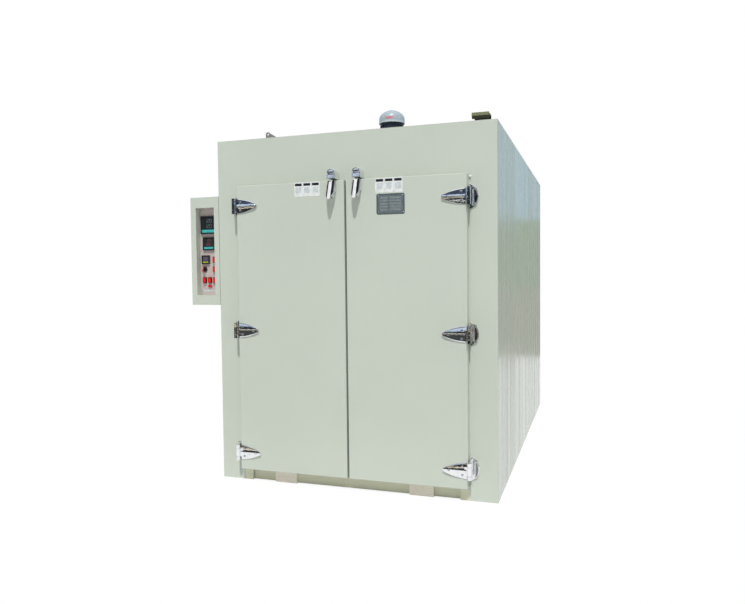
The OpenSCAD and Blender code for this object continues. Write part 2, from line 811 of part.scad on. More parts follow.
// Lifting plate with an upright edge, a round corner with an eye and a long slope, on a foot
module lifting_lug() {
    color(steel) translate([-half_w + lug_x, front_y + lug_y, body_h]) {
        on_face(0, lug_t / 2, 0) linear_extrude(lug_t) difference() {
            union() {
                polygon([[0, 0], [lug_w, 0], [lug_w, lug_t], [1.7 * lug_top_r, lug_h - lug_top_r / 3],
                    [lug_top_r, lug_h - lug_top_r], [0, lug_h - lug_top_r]]);
                translate([lug_top_r, lug_h - lug_top_r]) circle(lug_top_r);
            }
            translate([lug_top_r, lug_h - lug_top_r]) circle(lug_eye_r);
        }
        translate([0, -lug_foot_w / 2, 0]) cube([lug_w, lug_foot_w, lug_t]);
    }
}

side_wall(-1);  // left_wall
side_wall(1);  // right_wall
back_wall();
roof_slab();
floor_slab();
front_jamb(-1);  // left_jamb
front_jamb(1);  // right_jamb
front_header();
sill_strip();
threshold_blocks();
back_liner();
ceiling_panel();
air_duct(-1);  // left_air_duct
air_duct(1);  // right_air_duct
frame_seal();
hinge_brackets(-1);  // left_hinge_brackets
hinge_brackets(1);  // right_hinge_brackets
latch_strike(-1);  // left_latch_strike
latch_strike(1);  // right_latch_strike
door_leaf(-1);  // left_door_leaf
door_plug(-1);  // left_door_plug
hinge_straps(-1);  // left_hinge_straps
latch_body(-1);  // left_latch_body
door_leaf(1);  // right_door_leaf
door_plug(1);  // right_door_plug
hinge_straps(1);  // right_hinge_straps
latch_body(1);  // right_latch_body
latch_lever(-1);  // left_latch_lever
latch_lever(1);  // right_latch_lever
control_box();
control_panel();
controller(large_size, panel_mid_x, large_row);  // large_controller
controller(medium_size, panel_mid_x, medium_row);  // medium_controller
controller(small_size, small_x, small_row);  // small_controller
push_buttons();
indicator_lamp();
selector_knob();
motor_plate();
motor_frame();
motor_cowl();
motor_terminal_box();
roof_bracket();
lifting_lug();
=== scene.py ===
"""Looks of the walk-in drying oven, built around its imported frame. Lengths are in metres."""

import math

import bmesh
import bpy
from mathutils import Matrix, Vector


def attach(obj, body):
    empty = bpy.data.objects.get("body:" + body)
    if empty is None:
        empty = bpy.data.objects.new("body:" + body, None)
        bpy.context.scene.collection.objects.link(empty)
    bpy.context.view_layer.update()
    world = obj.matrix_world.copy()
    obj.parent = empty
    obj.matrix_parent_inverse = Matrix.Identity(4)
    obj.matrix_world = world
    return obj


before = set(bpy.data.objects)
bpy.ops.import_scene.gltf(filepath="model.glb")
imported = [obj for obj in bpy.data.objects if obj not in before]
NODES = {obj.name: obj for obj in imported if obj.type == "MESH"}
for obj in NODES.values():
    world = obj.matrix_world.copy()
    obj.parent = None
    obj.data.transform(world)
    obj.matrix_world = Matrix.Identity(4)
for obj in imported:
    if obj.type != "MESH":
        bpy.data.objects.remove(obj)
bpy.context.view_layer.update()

SCENE = bpy.context.scene
SIDES = (("left", -1), ("right", 1))

# Camera, fitted to the straight edges of the cabinet in the 745 by 604 photograph
CAMERA_PLACE = (1.1707, -4.3661, 1.0910)
CAMERA_YAW = 0.3244
CAMERA_PITCH = -0.0425
CAMERA_ROLL = -0.0106
CAMERA_FOCAL_PX = 663.4
IMAGE_WIDTH_PX = 745
SENSOR_WIDTH_MM = 36.0

# Planes on the oven that the pieces sit on, as y, or as z on the roof
LEAF_FRONT = -1.295
JAMB_FRONT = -1.250
FLANGE_FRONT = -1.255
STRIKE_FRONT = -1.315
PANEL_FRONT = -1.210
CONTROLLER_FRONT = -1.217
BUTTON_CAP_BACK = -1.2155
KNOB_FRONT = -1.2343
PLUG_BACK = -1.193
LINER_FRONT = 1.126
ROOF_TOP = 1.800

# Hinges and latches: the straps' outline as reach from the pin, and the open part of the flanges
PIN_X = 0.614
LATCH_X = 0.066
HINGE_HEIGHTS = (0.157, 0.8025, 1.448)
STRAP_START, STRAP_TIP = 0.0145, 0.118
STRAP_TIP_RADIUS = 0.011
STRAP_HALF = 0.039
FLANGE_CENTER, FLANGE_RADIUS, FLANGE_INNER = 0.5912, 0.0608, 0.6275
STRIKE_MIDDLE = 1.585
STRIKE_HALF, STRIKE_FOOT, STRIKE_SHOULDER = 0.021, -0.024, 0.003

# Panel of the control box: its edges, its three columns and its controllers as x, z and size
PANEL_LEFT, PANEL_RIGHT = -0.881, -0.769
PANEL_LOW, PANEL_HIGH = 0.984, 1.455
COLUMNS = (-0.8555, -0.8235, -0.7915)
LARGE, MEDIUM, SMALL = (-0.825, 1.365, 0.096), (-0.825, 1.264, 0.072), (-0.846, 1.177, 0.048)
KNOB_HEIGHT = 1.125

# Cabinet and roof
BODY_SIDE = 0.740
DUCT_INNER = 0.560
MOTOR_CENTER = (0.0, -0.480)
MOTOR_BOLT_REACH = 0.125
COWL_RADIUS = 0.077

# Light
SUN_STRENGTH = 2.4
SUN_SPREAD = math.radians(3.5)
SUN_TOWARDS = (0.152, -0.531, 0.834)
SUN_COLOR = (1.0, 0.99, 0.97)
WORLD_LEVEL = 0.32
WORLD_COLOR = (0.95, 0.98, 1.0)
FLOOR_COLOR = (0.80, 0.81, 0.80)
FLOOR_SIZE = 30.0
FLOOR_SEEN_SHARE, FLOOR_SEEN_LEVEL = 0.8, 1.06
BACK_RADIUS, RING_RADIUS, STRIP_RADIUS = 4.55, 6.0, 5.6


def srgb(red, green, blue):
    """Linear colour of three 8-bit values."""

    def linear(value):
        share = value / 255
        return share / 12.92 if share <= 0.04045 else ((share + 0.055) / 1.055) ** 2.4

    return linear(red), linear(green), linear(blue)


# Surroundings that only the gloss shows, as name, low, high and colour
BACK_BANDS = (
    ("back_low", 0.0, 0.90, srgb(164, 164, 152)),
    ("back_middle", 0.90, 1.76, srgb(146, 166, 144)),
    ("back_high", 1.76, 9.0, srgb(172, 202, 220)),
)
FRONT_BANDS = (
    ("front_foot", 0.0, 0.50, srgb(40, 42, 42)),
    ("front_warm", 0.50, 0.72, srgb(250, 240, 214)),
    ("front_dark", 0.72, 1.16, srgb(34, 38, 44)),
    ("front_glow", 1.16, 1.42, srgb(250, 242, 222)),
    ("front_wall", 1.42, 2.20, srgb(40, 48, 54)),
    ("front_light", 2.20, 3.30, srgb(206, 222, 242)),
    ("front_high", 3.30, 5.20, srgb(66, 78, 98)),
)
# High strips in front for the latch levers, as first and last azimuth and colour
HIGH_STRIPS = (
    (182, 219, (0.02, 0.02, 0.025)),
    (286, 336, (0.02, 0.02, 0.025)),
    (336, 356, (0.25, 0.26, 0.28)),
)
STRIP_LOW, STRIP_HIGH = 2.7, 14.0
DARK_GROUND_COLOR = srgb(66, 70, 70)
DARK_GROUND_HALF, DARK_GROUND_FRONT, DARK_GROUND_BACK, DARK_GROUND_Z = 3.2, -5.6, -2.3, 0.002


def make_camera():
    """Creates the camera at the photograph's viewing angle."""
    data = bpy.data.cameras.new("camera")
    data.sensor_width = SENSOR_WIDTH_MM
    data.lens = SENSOR_WIDTH_MM * CAMERA_FOCAL_PX / IMAGE_WIDTH_PX
    camera = bpy.data.objects.new("camera", data)
    level = math.cos(CAMERA_PITCH)
    forward = Vector(
        (-math.sin(CAMERA_YAW) * level, math.cos(CAMERA_YAW) * level, math.sin(CAMERA_PITCH))
    )
    level_right = Vector((math.cos(CAMERA_YAW), math.sin(CAMERA_YAW), 0))
    level_up = level_right.cross(forward)
    right = level_right * math.cos(CAMERA_ROLL) + level_up * math.sin(CAMERA_ROLL)
    up = level_up * math.cos(CAMERA_ROLL) - level_right * math.sin(CAMERA_ROLL)
    turn = Matrix((right, up, -forward)).transposed().to_4x4()
    camera.matrix_world = Matrix.Translation(CAMERA_PLACE) @ turn
    SCENE.collection.objects.link(camera)
    SCENE.camera = camera


class Shader:
    """Small helper that builds one node material. Depths are in metres, scales per metre."""

    def __init__(self, name, color, roughness, metallic=0.0):
        self.material = bpy.data.materials.new(name)
        self.material.use_nodes = True
        self.tree = self.material.node_tree
        self.inputs = self.tree.nodes["Principled BSDF"].inputs
        self.inputs["Base Color"].default_value = (*color, 1)
        self.inputs["Roughness"].default_value = roughness
        self.inputs["Metallic"].default_value = metallic
        self.place = self.node("ShaderNodeTexCoord").outputs["Object"]

    def node(self, kind, **values):
        """New node with the given values in its inputs. An underscore stands for a space."""
        made = self.tree.nodes.new(kind)
        for label, value in values.items():
            made.inputs[label.replace("_", " ")].default_value = value
        return made

    def link(self, source, target):
        self.tree.links.new(source, target)

    def noise(self, scale, detail, stretch=(1, 1, 1)):
        """Noise over object coordinates that are multiplied by stretch first."""
        mapping = self.node("ShaderNodeMapping", Scale=stretch)
        self.link(self.place, mapping.inputs["Vector"])
        texture = self.node("ShaderNodeTexNoise", Scale=scale, Detail=detail)
        self.link(mapping.outputs["Vector"], texture.inputs["Vector"])
        return texture.outputs["Fac"]

    def color(self, source, low, high):
        """Base colour from low to high, each a position of the source and a colour."""
        made = self.node("ShaderNodeValToRGB")
        for element, (position, color) in zip(made.color_ramp.elements, (low, high)):
            element.position = position
            element.color = (*color, 1)
        self.link(source, made.inputs["Fac"])
        self.link(made.outputs["Color"], self.inputs["Base Color"])

    def roughness(self, source, low, high):
        """Roughness from low to high over a noise value, which is mostly 0.3 to 0.7."""
        made = self.node("ShaderNodeMapRange", From_Min=0.3, From_Max=0.7, To_Min=low, To_Max=high)
        self.link(source, made.inputs["Value"])
        self.link(made.outputs["Result"], self.inputs["Roughness"])

    def bump(self, *layers):
        """Chained bumps. Each layer is a height and its depth."""
        normal = None
        for height, depth in layers:
            made = self.node("ShaderNodeBump", Strength=1.0, Distance=depth)
            self.link(height, made.inputs["Height"])
            if normal is not None:
                self.link(normal, made.inputs["Normal"])
            normal = made.outputs["Normal"]
        self.link(normal, self.inputs["Normal"])


def shade(color, factor):
    """Colour made lighter or darker by a factor."""
    return tuple(min(1.0, channel * factor) for channel in color)


def add_paint_relief(shader, waviness, stretch):
    """Fine orange peel, over long waves in the sheet where there are any."""
    layers = [(shader.noise(420.0, 2.0), 0.00012)]
    if waviness:
        layers.insert(0, (shader.noise(1.0, 2.0, stretch), waviness))
    shader.bump(*layers)


def paint_material(name, color, roughness, waviness=0.0, stretch=(1, 1, 1)):
    """Powder coat with faint clouds of tone."""
    shader = Shader(name, color, roughness)
    shader.color(shader.noise(1.7, 4.0), (0.25, shade(color, 0.965)), (0.75, shade(color, 1.03)))
    shader.roughness(shader.noise(3.1, 5.0), roughness - 0.05, roughness + 0.05)
    add_paint_relief(shader, waviness, stretch)
    return shader.material


def streaked_reflection_paint_material(name, color, roughness, waviness, stretch):
    """Powder coat on a long sheet, with bands of gloss along its waves, and lighter and darker
    bands of colour there that are painted streaks of reflection.
    """
    shader = Shader(name, color, roughness)
    reflection_streaks = shader.noise(1.0, 1.5, stretch)
    # Painted reflection: the lighter and darker colour bands stand in for streaks of reflected
    # surroundings on the sheet.
    shader.color(reflection_streaks, (0.36, shade(color, 0.94)), (0.62, shade(color, 1.025)))
    shader.roughness(reflection_streaks, roughness + 0.11, roughness - 0.09)
    add_paint_relief(shader, waviness, stretch)
    return shader.material


def brushed_material(name, color, roughness, stretch):
    """Sheet metal with a fine grain along one axis."""
    shader = Shader(name, color, roughness, 1.0)
    grain = shader.noise(9.0, 6.0, stretch)
    shader.color(grain, (0.3, shade(color, 0.9)), (0.7, shade(color, 1.08)))
    shader.roughness(grain, roughness - 0.08, roughness + 0.1)
    shader.bump((grain, 0.0002))
    return shader.material


def chrome_material(name, level):
    """Polished plating with faint smears and small waves."""
    low, high = shade((0.74, 0.75, 0.78), level), shade((0.88, 0.89, 0.90), level)
    shader = Shader(name, high, 0.08, 1.0)
    smears = shader.noise(38.0, 4.0)
    shader.color(smears, (0.3, low), (0.7, high))
    shader.roughness(smears, 0.04, 0.13)
    shader.bump((shader.noise(65.0, 2.0), 0.0003))
    return shader.material


def plastic_material(name, color, roughness):
    """Moulded plastic with a fine spark-eroded grain."""
    shader = Shader(name, color, roughness)
    clouds = shader.noise(60.0, 3.0)
    shader.color(clouds, (0.3, shade(color, 0.9)), (0.7, shade(color, 1.12)))
    shader.roughness(clouds, roughness - 0.05, roughness + 0.07)
    shader.bump((shader.noise(900.0, 2.0), 0.00005))
    return shader.material


def cast_material(name, color, roughness):
    """Enamelled casting with a coarse surface."""
    shader = Shader(name, color, roughness)
    grain = shader.noise(140.0, 5.0)
    shader.color(grain, (0.3, shade(color, 0.85)), (0.7, shade(color, 1.12)))
    shader.roughness(grain, roughness - 0.08, roughness + 0.08)
    shader.bump((grain, 0.0006))
    return shader.material


def block_material():
    """Porous warm block with small pits."""
    color = srgb(250, 242, 228)
    shader = Shader("block", color, 0.85)
    pits = shader.noise(180.0, 6.0)
    shader.color(pits, (0.32, shade(color, 0.8)), (0.55, color))
    shader.bump((pits, 0.0012))
    return shader.material


def seal_material():
    """Woven heat-proof strip."""
    color = srgb(205, 200, 188)
    shader = Shader("seal", color, 0.9)
    dark, light = (*shade(color, 0.8), 1), (*color, 1)
    weave = shader.node("ShaderNodeTexChecker", Scale=500, Color1=dark, Color2=light)
    shader.link(shader.place, weave.inputs["Vector"])
    shader.link(weave.outputs["Color"], shader.inputs["Base Color"])
    shader.bump((weave.outputs["Fac"], 0.0006))
    return shader.material


PAINT_COLOR = srgb(204, 211, 200)
LINING_COLOR = (0.56, 0.57, 0.58)
PAINT = paint_material("paint", PAINT_COLOR, 0.34, 0.0006, (2.2, 2.2, 1.1))
# Side sheets: their colour bands are painted streaks of reflection.
SIDE_PAINT_PAINTED_REFLECTION = streaked_reflection_paint_material("side_paint_painted_reflection", PAINT_COLOR, 0.24, 0.004, (0.2, 8.0, 0.22))
ROOF_PAINT = paint_material("roof_paint", PAINT_COLOR, 0.36, 0.002, (1.5, 1.5, 1.0))
SILL = paint_material("sill_paint", srgb(226, 226, 200), 0.5)
CHROME = chrome_material("chrome", 1.0)
# Darker plating that paints a dark reflection on the hinge flanges.
CHROME_PAINTED_DARK_REFLECTION = chrome_material("chrome_painted_dark_reflection", 0.28)
FASTENER = brushed_material("fastener", (0.66, 0.67, 0.68), 0.24, (8, 8, 8))
LINING = brushed_material("lining", LINING_COLOR, 0.42, (2, 2, 40))
FLAT_LINING = brushed_material("flat_lining", LINING_COLOR, 0.45, (40, 2, 2))
BLOCK = block_material()
SEAL = seal_material()
PANEL = paint_material("panel_sheet", srgb(202, 188, 185), 0.45)
BLACK = plastic_material("black_plastic", (0.018, 0.018, 0.022), 0.35)
DISPLAY = plastic_material("display_window", srgb(38, 42, 46), 0.12)
SMALL_DISPLAY = plastic_material("small_display_window", srgb(84, 72, 96), 0.14)
RED = plastic_material("red_cap", srgb(224, 26, 18), 0.22)
TURQUOISE = plastic_material("turquoise_strip", srgb(64, 190, 190), 0.3)
LIME = plastic_material("lime_strip", srgb(186, 200, 60), 0.3)
DIGIT = plastic_material("pale_digit", srgb(106, 122, 118), 0.3)
RED_DIGIT = plastic_material("red_digit", srgb(140, 70, 74), 0.3)
KNOB_RED = plastic_material("knob_red", srgb(186, 84, 88), 0.35)
WHITE_LABEL = plastic_material("white_label", srgb(232, 236, 234), 0.38)
BAND = plastic_material("label_band", srgb(22, 22, 40), 0.38)
PLATE = brushed_material("plate_field", srgb(158, 168, 168), 0.4, (1, 1, 40))
PLATE_EDGE = plastic_material("plate_edge", srgb(78, 92, 96), 0.4)
PLATE_FIELD = plastic_material("blank_field", srgb(128, 138, 140), 0.45)
FAINT = plastic_material("faint_field", srgb(206, 212, 216), 0.45)
# Painted shade: the motor's silver-grey casting is made blue-black for the shade under the cowl, on
# its frame and its terminal box.
CAST_PAINTED_SHADE = cast_material("motor_cast", srgb(42, 50, 68), 0.42)
COWL = cast_material("cowl", srgb(182, 195, 205), 0.30)
# Painted highlight: the lighter band round the cowl's rim.
COWL_PAINTED_HIGHLIGHT = cast_material("cowl_highlight_band", srgb(206, 214, 220), 0.34)
PATCH = plastic_material("plain_patch", srgb(226, 134, 146), 0.4)
# Roof bracket: its dark is partly its own colour and partly painted shade beneath its lip; the
# olive of its upper faces is painted light on its lit top.
DARK_PAINT_AND_SHADE = paint_material("dark_paint_and_painted_shade", srgb(52, 54, 40), 0.45)
OLIVE_PAINTED_LIGHT = paint_material("olive_painted_light", srgb(128, 130, 96), 0.45)
LUG = paint_material("lug_paint", srgb(136, 138, 134), 0.5)

# Materials of the CAD nodes, by their names without left_ and right_
NODE_MATERIALS = {
    "wall": SIDE_PAINT_PAINTED_REFLECTION,
    "back_wall": PAINT,
    "roof_slab": ROOF_PAINT,
    "floor_slab": FLAT_LINING,
    "jamb": PAINT,
    "front_header": PAINT,
    "sill_strip": SILL,
    "threshold_blocks": BLOCK,
    "frame_seal": SEAL,
    "back_liner": LINING,
    "ceiling_panel": FLAT_LINING,
    "air_duct": LINING,
    "door_leaf": PAINT,
    "door_plug": LINING,
    "hinge_brackets": CHROME,
    "hinge_straps": CHROME,
    "latch_strike": CHROME,
    "latch_body": CHROME,
    "latch_lever": CHROME,
    "control_box": PAINT,
    "control_panel": PANEL,
    "large_controller": BLACK,
    "medium_controller": BLACK,
    "small_controller": BLACK,
    "push_buttons": BLACK,
    "indicator_lamp": RED,
    "selector_knob": BLACK,
    "motor_plate": PAINT,
    "motor_frame": CAST_PAINTED_SHADE,
    "motor_cowl": COWL,
    "motor_terminal_box": CAST_PAINTED_SHADE,
    "roof_bracket": DARK_PAINT_AND_SHADE,
    "lifting_lug": LUG,
}


def repaint(name, material, wanted):
    """Gives faces of a CAD node a second material where wanted(centre in the row frame) is true."""
    node = NODES[name]
    node.data.materials.append(material)
    for face in node.data.polygons:
        if wanted(node.matrix_world @ face.center):
            face.material_index = 1


def dress_frame():
    """Gives every CAD node its material, and some of its faces a second one."""
    for name, node in NODES.items():
        node.data.materials.clear()
        kind = name.removeprefix("left_").removeprefix("right_")
        node.data.materials.append(NODE_MATERIALS[kind])
    knob_red_edge = COLUMNS[0] + 0.003
    bracket_painted_light_foot = ROOF_TOP + 0.0295
    side_face = BODY_SIDE - 0.001
    repaint("push_buttons", RED, lambda at: at.y < BUTTON_CAP_BACK)
    repaint("selector_knob", KNOB_RED, lambda at: at.x < knob_red_edge)
    # Painted light: the bracket's upper faces are lighter olive for the light on its top.
    repaint("roof_bracket", OLIVE_PAINTED_LIGHT, lambda at: at.z > bracket_painted_light_foot)
    for name in ("left_jamb", "right_jamb", "roof_slab", "back_wall"):
        repaint(name, SIDE_PAINT_PAINTED_REFLECTION, lambda at: abs(at.x) > side_face)


def new_object(name, fill, *materials):
    """Makes an object from a bmesh that fill(shape) builds."""
    shape = bmesh.new()
    fill(shape)
    bmesh.ops.recalc_face_normals(shape, faces=shape.faces)
    mesh = bpy.data.meshes.new(name)
    shape.to_mesh(mesh)
    shape.free()
    for material in materials:
        mesh.materials.append(material)
    made = bpy.data.objects.new(name, mesh)
    SCENE.collection.objects.link(made)
    return made


# Directions across and up on each side of the oven
SIDE_AXES = {
    "front": ((1, 0, 0), (0, 0, 1)),
    "back": ((-1, 0, 0), (0, 0, 1)),
    "right": ((0, 1, 0), (0, 0, 1)),
    "left": ((0, -1, 0), (0, 0, 1)),
    "top": ((1, 0, 0), (0, 1, 0)),
}


def facing(side, x, y, z):
    """Frame on a side of the oven: its X runs across, its Y up and its Z out of the surface."""
    across, up = (Vector(axis) for axis in SIDE_AXES[side])
    turn = Matrix((across, up, across.cross(up))).transposed().to_4x4()
    return Matrix.Translation((x, y, z)) @ turn


def on_circle(center_x, center_y, radius, angle):
    """Point at an angle, in radians, on a circle."""
    return center_x + radius * math.cos(angle), center_y + radius * math.sin(angle)


def round_ring(radius, height, sides=0, steps=24):
    """Circle of points, or a regular polygon sampled at as many points when sides is given."""
    ring = []
    for index in range(steps):
        angle = 2 * math.pi * index / steps
        reach = radius
        if sides:
            part = math.pi / sides
            reach = radius * math.cos(part) / math.cos(angle % (2 * part) - part)
        ring.append((*on_circle(0, 0, reach, angle), height))
    return ring


def box_ring(width, depth, corner, height):
    """Rectangle of points with round corners."""
    steps = 4
    ring = []
    for quarter, (side_x, side_y) in enumerate(((1, 1), (-1, 1), (-1, -1), (1, -1))):
        center = side_x * (width / 2 - corner), side_y * (depth / 2 - corner)
        for step in range(steps + 1):
            angle = math.pi / 2 * (quarter + step / steps)
            ring.append((*on_circle(*center, corner, angle), height))
    return ring


def plate(width, depth, thickness, corner=0.002, edge=0.0003, base=0.0):
    """Flat plate with round corners and a bevelled front edge."""
    return [
        box_ring(width, depth, corner, base),
        box_ring(width, depth, corner, base + thickness - edge),
        box_ring(width - 2 * edge, depth - 2 * edge, corner - edge / 2, base + thickness),
    ]


def pan_head(radius, height):
    """Round screw head with a hexagonal socket."""
    return [
        round_ring(radius, 0),
        round_ring(radius, 0.35 * height),
        round_ring(0.88 * radius, 0.8 * height),
        round_ring(0.6 * radius, height),
        round_ring(0.45 * radius, height, 6),
        round_ring(0.42 * radius, 0.4 * height, 6),
    ]


def bolt_head(radius, height):
    """Hexagonal bolt head on a washer."""
    washer = 0.22 * height
    return [
        round_ring(1.45 * radius, 0),
        round_ring(1.45 * radius, washer),
        round_ring(1.02 * radius, 1.05 * washer),
        round_ring(radius, 1.1 * washer, 6),
        round_ring(radius, 0.88 * height, 6),
        round_ring(0.8 * radius, height),
    ]


def rivet(radius, height):
    """Low domed head."""
    profile = ((1, 0), (0.92, 0.45), (0.65, 0.85), (0.25, 1))
    return [round_ring(reach * radius, rise * height, steps=16) for reach, rise in profile]


def skin(shape, rings, matrix, material_index=0, hollow=False):
    """Closes a stack of rings, given in the matrix's frame, into a solid, or into a hollow rim."""
    rows = [[shape.verts.new(matrix @ Vector(point)) for point in ring] for ring in rings]
    faces = [] if hollow else [shape.faces.new(rows[0]), shape.faces.new(rows[-1])]
    for low, high in zip(rows, rows[1:] + rows[:1] if hollow else rows[1:]):
        for index in range(len(low)):
            after = (index + 1) % len(low)
            faces.append(shape.faces.new((low[index], low[after], high[after], high[index])))
    for face in faces:
        face.material_index = material_index


def add_piece(name, body, materials, solids, smooth_angle=32):
    """Makes one piece from solids: rings, matrix and, if needed, material index and hollow."""

    def fill(shape):
        for solid in solids:
            skin(shape, *solid)

    made = new_object(name, fill, *materials)
    made.data.shade_smooth()
    made.data.set_sharp_from_angle(angle=math.radians(smooth_angle))
    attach(made, body)


def strap_outline():
    """Leaf-shaped edge of a hinge strap, as reach and rise: two arcs and a round tip."""
    rise_to_tip = STRAP_HALF - STRAP_TIP_RADIUS
    arc = (STRAP_TIP**2 + STRAP_HALF**2 - STRAP_TIP_RADIUS**2) / (2 * rise_to_tip)
    drop = arc - STRAP_HALF
    turn = math.atan2(drop, STRAP_TIP)
    join = STRAP_TIP + STRAP_TIP_RADIUS * math.cos(turn)
    side_steps, tip_steps = 14, 5
    upper = []
    for step in range(side_steps + 1):
        reach = STRAP_START + (join - STRAP_START) * step / side_steps
        upper.append((reach, math.sqrt(arc**2 - reach**2) - drop))
    for step in range(1, tip_steps + 1):
        upper.append(on_circle(STRAP_TIP, 0, STRAP_TIP_RADIUS, turn * (1 - step / tip_steps)))
    return upper + [(reach, -rise) for reach, rise in reversed(upper[:-1])]


def strap_cover(sign):
    """Polished skin of a strap with a soft ridge and a rounded rim, just over the CAD's bevels."""
    ridge, slope, softness = 0.0108, 0.237, 0.010
    foot, rim = 0.0004, 0.0016
    middle, half_length = 0.068, 0.055

    def height(rise):
        return ridge - slope * (math.hypot(rise, softness) - softness)

    def outline(inset):
        points = []
        for reach, rise in strap_outline():
            x = middle + (reach - middle) * (1 - inset / half_length)
            points.append((-sign * x, rise * (1 - inset / STRAP_HALF)))
        return points

    rings = [[(x, y, foot) for x, y in outline(0.0)]]
    for inset, sink in ((0.0, 0.0014), (0.0005, 0.0005), (rim, 0.0)):
        rings.append([(x, y, height(y) - sink) for x, y in outline(inset)])
    for share in (0.85, 0.7, 0.55, 0.42, 0.3, 0.18, 0.08, 0.01):
        rings.append([(x, y * share, height(y * share)) for x, y in outline(rim)])
    return rings


def flange_loop(inset):
    """Edge of the open part of a hinge flange: a round outer side and a straight inner side."""
    steps = 24
    radius = FLANGE_RADIUS - inset
    reach = math.acos((FLANGE_INNER + inset - FLANGE_CENTER) / radius)
    angles = [-reach + 2 * reach * step / steps for step in range(steps + 1)]
    return [on_circle(FLANGE_CENTER, 0, radius, angle) for angle in angles]


def strike_loop(inset):
    """Edge of a latch strike: straight sides and a round top."""
    steps = 16
    half, foot = STRIKE_HALF - inset, STRIKE_FOOT + inset
    top = [on_circle(0, STRIKE_SHOULDER, half, math.pi * step / steps) for step in range(steps + 1)]
    return [(-half, foot), (half, foot)] + top


def rim_rings(loop_at, width, height, sign=1):
    """Half-round rim along a loop."""
    profile = (
        (0.0002, 0.0),
        (0.0, 0.5),
        (0.22, 0.9),
        (0.5, 1.0),
        (0.78, 0.9),
        (1.0, 0.5),
        (1.0, 0.0),
    )
    rings = []
    for share, rise in profile:
        rings.append([(sign * x, y, height * rise) for x, y in loop_at(width * share)])
    return rings


def make_door_covers():
    """Polished skins of the straps, rims of the flanges and strikes, and dishes of darker plating
    in the flanges that paint a dark reflection.
    """
    dish_inset, dish_rise = 0.0050, 0.0003
    for side, sign in SIDES:
        covers, rims = [], []
        for height in HINGE_HEIGHTS:
            covers.append((strap_cover(sign), facing("front", sign * PIN_X, LEAF_FRONT, height)))
            at = facing("front", 0, FLANGE_FRONT, height)
            rims.append((rim_rings(flange_loop, 0.0055, 0.0022, sign), at, 0, True))
            # The dish's darker plating is a painted dark reflection on the flange's chrome.
            loop = flange_loop(dish_inset)
            painted_reflection_dish = [[(sign * x, y, rise) for x, y in loop] for rise in (0.0, dish_rise)]
            rims.append((painted_reflection_dish, at, 1))
        at = facing("front", sign * LATCH_X, STRIKE_FRONT, STRIKE_MIDDLE)
        rims.append((rim_rings(strike_loop, 0.0045, 0.0016), at, 0, True))
        add_piece(side + "_strap_covers", side + "_door", [CHROME], covers, 50)
        add_piece(side + "_flange_rims", "cabinet", [CHROME, CHROME_PAINTED_DARK_REFLECTION], rims, 50)


def make_door_fasteners():
    """Screws of the hinge straps on each leaf and of the hinge flanges on each jamb."""
    # Reach from the pin, rise and how far the strap stands out there
    strap_places = ((0.035, 0.020, 0.0076), (0.035, -0.020, 0.0076), (0.100, 0.0, 0.0106))
    flange_x, flange_rise = 0.6365, 0.037
    for side, sign in SIDES:
        strap, flange = [], []
        for height in HINGE_HEIGHTS:
            for reach, rise, out in strap_places:
                at = facing("front", sign * (PIN_X - reach), LEAF_FRONT - out, height + rise)
                strap.append((pan_head(0.0062, 0.0038), at))
            for rise in (-flange_rise, flange_rise):
                at = facing("front", sign * flange_x, FLANGE_FRONT, height + rise)
                flange.append((pan_head(0.0068, 0.0036), at))
        add_piece(side + "_strap_screws", side + "_door", [FASTENER], strap)
        add_piece(side + "_flange_screws", "cabinet", [FASTENER], flange)


def make_labels():
    """Plain white labels, three fields to each door, each with a blank band and a faint field."""
    pitch, width, height, thickness = 0.0465, 0.0455, 0.072, 0.0006
    label_front = LEAF_FRONT - thickness
    label = plate(width, height, thickness)
    band, band_drop = plate(0.037, 0.0125, 0.0003, 0.0015, 0.0001), 0.0125
    field, field_drop = plate(0.030, 0.030, 0.0002, 0.0040, 0.0001), 0.0400
    for side, first, top in (("left", -0.2495, 1.5545), ("right", 0.1800, 1.5540)):
        solids = []
        for number in range(3):
            x = first + pitch * number
            solids.append((label, facing("front", x, LEAF_FRONT, top - height / 2)))
            solids.append((band, facing("front", x, label_front, top - band_drop), 1))
            solids.append((field, facing("front", x, label_front, top - field_drop), 2))
        add_piece(side + "_label", side + "_door", [WHITE_LABEL, BAND, FAINT], solids)


def make_nameplate():
    """Blank rating plate with a dark border, empty fields and a rivet in each corner."""
    center_x, center_z = 0.2345, 1.4265
    width, height, border = 0.142, 0.100, 0.012
    sheet, raised = 0.0010, 0.0006
    first_row, row_pitch, field_height = 0.030, 0.0145, 0.0085
    # Offset of each column of fields, and its share of the free width
    columns, free_width = ((-0.0325, 0.36), (0.0260, 0.52)), width - 0.030
    rivet_x, rivet_z, rivet_base = 0.0615, 0.0405, LEAF_FRONT - 0.0014
    at = facing("front", center_x, LEAF_FRONT, center_z)
    solids = [(plate(width, height, sheet, 0.008), at, 1)]
    solids.append((plate(width - border, height - border, raised, 0.005, base=sheet), at, 0))
    for row in range(5):
        z = center_z + first_row - row_pitch * row
        for offset, share in columns:
            field = plate(share * free_width, field_height, 0.0003, 0.001, 0.0001)
            at = facing("front", center_x + offset, LEAF_FRONT - sheet - raised, z)
            solids.append((field, at, 2))
    for side_x in (-1, 1):
        for side_z in (-1, 1):
            x, z = center_x + side_x * rivet_x, center_z + side_z * rivet_z
            solids.append((rivet(0.0026, 0.0012), facing("front", x, rivet_base, z), 3))
    add_piece("nameplate", "right_door", [PLATE, PLATE_EDGE, PLATE_FIELD, FASTENER], solids)


def make_corner_cap():
    """Small domed cap on the jamb beside the top corner of the right leaf, white all over as a
    painted highlight on a paint-coloured cap.
    """
    at = facing("front", 0.6130, JAMB_FRONT, 1.5420)
    add_piece("right_corner_cap_painted_highlight", "cabinet", [WHITE_LABEL], [(rivet(0.0068, 0.0100), at)])


